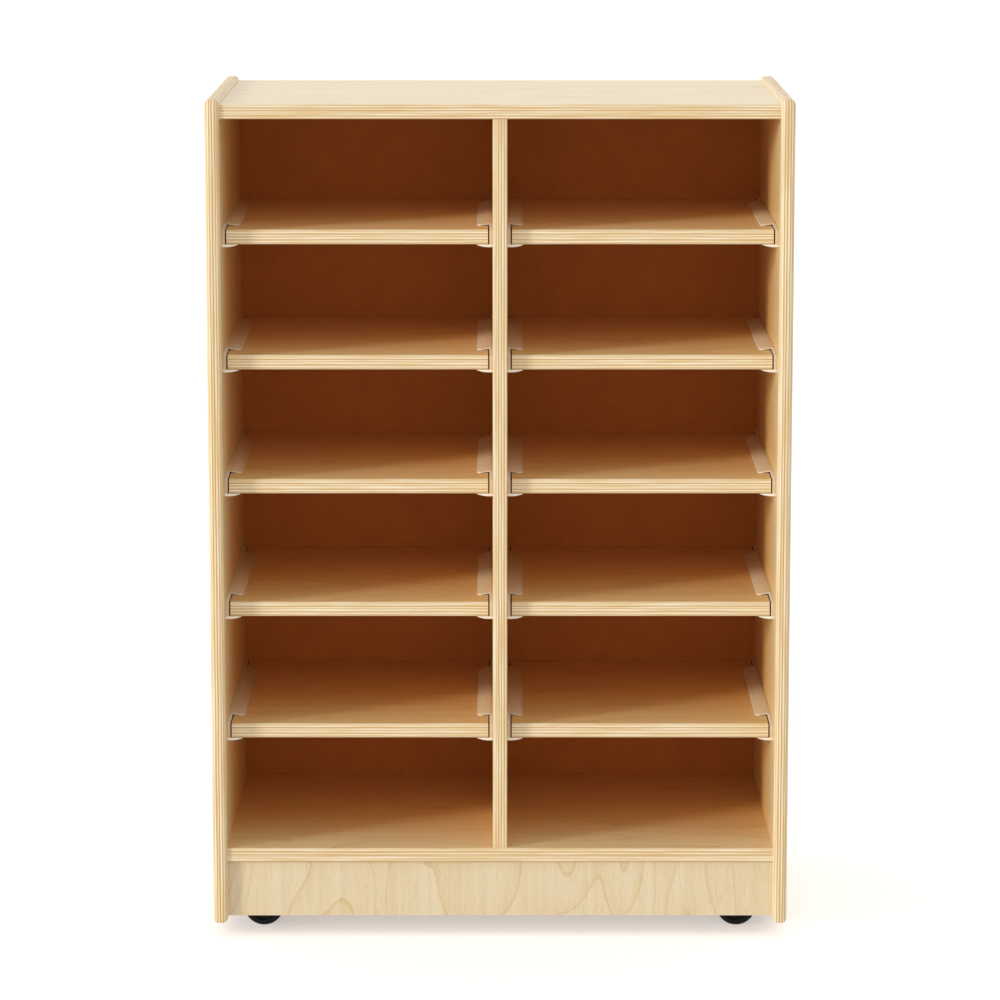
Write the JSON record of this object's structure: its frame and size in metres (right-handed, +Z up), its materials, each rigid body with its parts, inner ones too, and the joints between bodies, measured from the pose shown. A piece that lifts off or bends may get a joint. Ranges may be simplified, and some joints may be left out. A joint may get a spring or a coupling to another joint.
{
  "type": "scrapbook paper storage cabinet",
  "caption": "Mobile plywood cabinet whose flat shelves slide out of moulded runners to store scrapbook paper, on swivelling twin-wheel casters.",
  "frame": {"origin": "on the floor, under the middle of the cabinet's outline", "axes": "+Z up, +X to the right as seen from the front, the open front faces -Y"},
  "size_m": [0.72, 0.42, 1.0525],
  "materials": {
    "birch_ply": "birch plywood, sanded, clear matt coat, bare striped edges",
    "back_board": "thin plain board",
    "runner_plastic": "milky translucent moulded plastic",
    "caster_nylon": "black moulded nylon",
    "wheel_nylon": "black moulded nylon tread",
    "zinc_steel": "zinc-plated steel"
  },
  "bodies": {
    "cabinet": {"side_panel_left": "birch_ply", "side_panel_right": "birch_ply", "top_panel": "birch_ply", "deck_panel": "birch_ply", "center_divider": "birch_ply", "back_panel": "back_board", "plinth_front": "birch_ply", "plinth_rear": "birch_ply", "caster_blocks": "birch_ply", "caster_plates": "zinc_steel", "runner_left_1_outer": "runner_plastic", "runner_left_1_inner": "runner_plastic", "runner_left_2_outer": "runner_plastic", "runner_left_2_inner": "runner_plastic", "runner_left_3_outer": "runner_plastic", "runner_left_3_inner": "runner_plastic", "runner_left_4_outer": "runner_plastic", "runner_left_4_inner": "runner_plastic", "runner_left_5_outer": "runner_plastic", "runner_left_5_inner": "runner_plastic", "runner_right_1_outer": "runner_plastic", "runner_right_1_inner": "runner_plastic", "runner_right_2_outer": "runner_plastic", "runner_right_2_inner": "runner_plastic", "runner_right_3_outer": "runner_plastic", "runner_right_3_inner": "runner_plastic", "runner_right_4_outer": "runner_plastic", "runner_right_4_inner": "runner_plastic", "runner_right_5_outer": "runner_plastic", "runner_right_5_inner": "runner_plastic"},
    "shelf_left_1": {"shelf_left_1": "birch_ply"},
    "shelf_left_2": {"shelf_left_2": "birch_ply"},
    "shelf_left_3": {"shelf_left_3": "birch_ply"},
    "shelf_left_4": {"shelf_left_4": "birch_ply"},
    "shelf_left_5": {"shelf_left_5": "birch_ply"},
    "shelf_right_1": {"shelf_right_1": "birch_ply"},
    "shelf_right_2": {"shelf_right_2": "birch_ply"},
    "shelf_right_3": {"shelf_right_3": "birch_ply"},
    "shelf_right_4": {"shelf_right_4": "birch_ply"},
    "shelf_right_5": {"shelf_right_5": "birch_ply"},
    "caster_front_left": {"caster_hood_front_left": "caster_nylon", "caster_axle_front_left": "zinc_steel"},
    "wheel_front_left_fore": {"caster_wheel_front_left_fore": "wheel_nylon"},
    "wheel_front_left_aft": {"caster_wheel_front_left_aft": "wheel_nylon"},
    "caster_front_right": {"caster_hood_front_right": "caster_nylon", "caster_axle_front_right": "zinc_steel"},
    "wheel_front_right_fore": {"caster_wheel_front_right_fore": "wheel_nylon"},
    "wheel_front_right_aft": {"caster_wheel_front_right_aft": "wheel_nylon"},
    "caster_rear_left": {"caster_hood_rear_left": "caster_nylon", "caster_axle_rear_left": "zinc_steel"},
    "wheel_rear_left_fore": {"caster_wheel_rear_left_fore": "wheel_nylon"},
    "wheel_rear_left_aft": {"caster_wheel_rear_left_aft": "wheel_nylon"},
    "caster_rear_right": {"caster_hood_rear_right": "caster_nylon", "caster_axle_rear_right": "zinc_steel"},
    "wheel_rear_right_fore": {"caster_wheel_rear_right_fore": "wheel_nylon"},
    "wheel_rear_right_aft": {"caster_wheel_rear_right_aft": "wheel_nylon"}
  },
  "joints": [
    {"name": "shelf_left_1_slide", "type": "slide", "parent": "cabinet", "child": "shelf_left_1", "axis": [0, -1, 0], "range_m": [0, 0.3]},
    {"name": "shelf_left_2_slide", "type": "slide", "parent": "cabinet", "child": "shelf_left_2", "axis": [0, -1, 0], "range_m": [0, 0.3]},
    {"name": "shelf_left_3_slide", "type": "slide", "parent": "cabinet", "child": "shelf_left_3", "axis": [0, -1, 0], "range_m": [0, 0.3]},
    {"name": "shelf_left_4_slide", "type": "slide", "parent": "cabinet", "child": "shelf_left_4", "axis": [0, -1, 0], "range_m": [0, 0.3]},
    {"name": "shelf_left_5_slide", "type": "slide", "parent": "cabinet", "child": "shelf_left_5", "axis": [0, -1, 0], "range_m": [0, 0.3]},
    {"name": "shelf_right_1_slide", "type": "slide", "parent": "cabinet", "child": "shelf_right_1", "axis": [0, -1, 0], "range_m": [0, 0.3]},
    {"name": "shelf_right_2_slide", "type": "slide", "parent": "cabinet", "child": "shelf_right_2", "axis": [0, -1, 0], "range_m": [0, 0.3]},
    {"name": "shelf_right_3_slide", "type": "slide", "parent": "cabinet", "child": "shelf_right_3", "axis": [0, -1, 0], "range_m": [0, 0.3]},
    {"name": "shelf_right_4_slide", "type": "slide", "parent": "cabinet", "child": "shelf_right_4", "axis": [0, -1, 0], "range_m": [0, 0.3]},
    {"name": "shelf_right_5_slide", "type": "slide", "parent": "cabinet", "child": "shelf_right_5", "axis": [0, -1, 0], "range_m": [0, 0.3]},
    {"name": "caster_front_left_swivel", "type": "hinge", "parent": "cabinet", "child": "caster_front_left", "pos_m": [-0.28, -0.124, 0.0585], "axis": [0, 0, 1], "continuous": true},
    {"name": "wheel_front_left_fore_spin", "type": "hinge", "parent": "caster_front_left", "child": "wheel_front_left_fore", "pos_m": [-0.3, -0.124, 0.025], "axis": [0, 1, 0], "continuous": true},
    {"name": "wheel_front_left_aft_spin", "type": "hinge", "parent": "caster_front_left", "child": "wheel_front_left_aft", "pos_m": [-0.3, -0.124, 0.025], "axis": [0, 1, 0], "continuous": true},
    {"name": "caster_front_right_swivel", "type": "hinge", "parent": "cabinet", "child": "caster_front_right", "pos_m": [0.28, -0.124, 0.0585], "axis": [0, 0, 1], "continuous": true},
    {"name": "wheel_front_right_fore_spin", "type": "hinge", "parent": "caster_front_right", "child": "wheel_front_right_fore", "pos_m": [0.3, -0.124, 0.025], "axis": [0, 1, 0], "continuous": true},
    {"name": "wheel_front_right_aft_spin", "type": "hinge", "parent": "caster_front_right", "child": "wheel_front_right_aft", "pos_m": [0.3, -0.124, 0.025], "axis": [0, 1, 0], "continuous": true},
    {"name": "caster_rear_left_swivel", "type": "hinge", "parent": "cabinet", "child": "caster_rear_left", "pos_m": [-0.28, 0.124, 0.0585], "axis": [0, 0, 1], "continuous": true},
    {"name": "wheel_rear_left_fore_spin", "type": "hinge", "parent": "caster_rear_left", "child": "wheel_rear_left_fore", "pos_m": [-0.3, 0.124, 0.025], "axis": [0, 1, 0], "continuous": true},
    {"name": "wheel_rear_left_aft_spin", "type": "hinge", "parent": "caster_rear_left", "child": "wheel_rear_left_aft", "pos_m": [-0.3, 0.124, 0.025], "axis": [0, 1, 0], "continuous": true},
    {"name": "caster_rear_right_swivel", "type": "hinge", "parent": "cabinet", "child": "caster_rear_right", "pos_m": [0.28, 0.124, 0.0585], "axis": [0, 0, 1], "continuous": true},
    {"name": "wheel_rear_right_fore_spin", "type": "hinge", "parent": "caster_rear_right", "child": "wheel_rear_right_fore", "pos_m": [0.3, 0.124, 0.025], "axis": [0, 1, 0], "continuous": true},
    {"name": "wheel_rear_right_aft_spin", "type": "hinge", "parent": "caster_rear_right", "child": "wheel_rear_right_aft", "pos_m": [0.3, 0.124, 0.025], "axis": [0, 1, 0], "continuous": true}
  ]
}
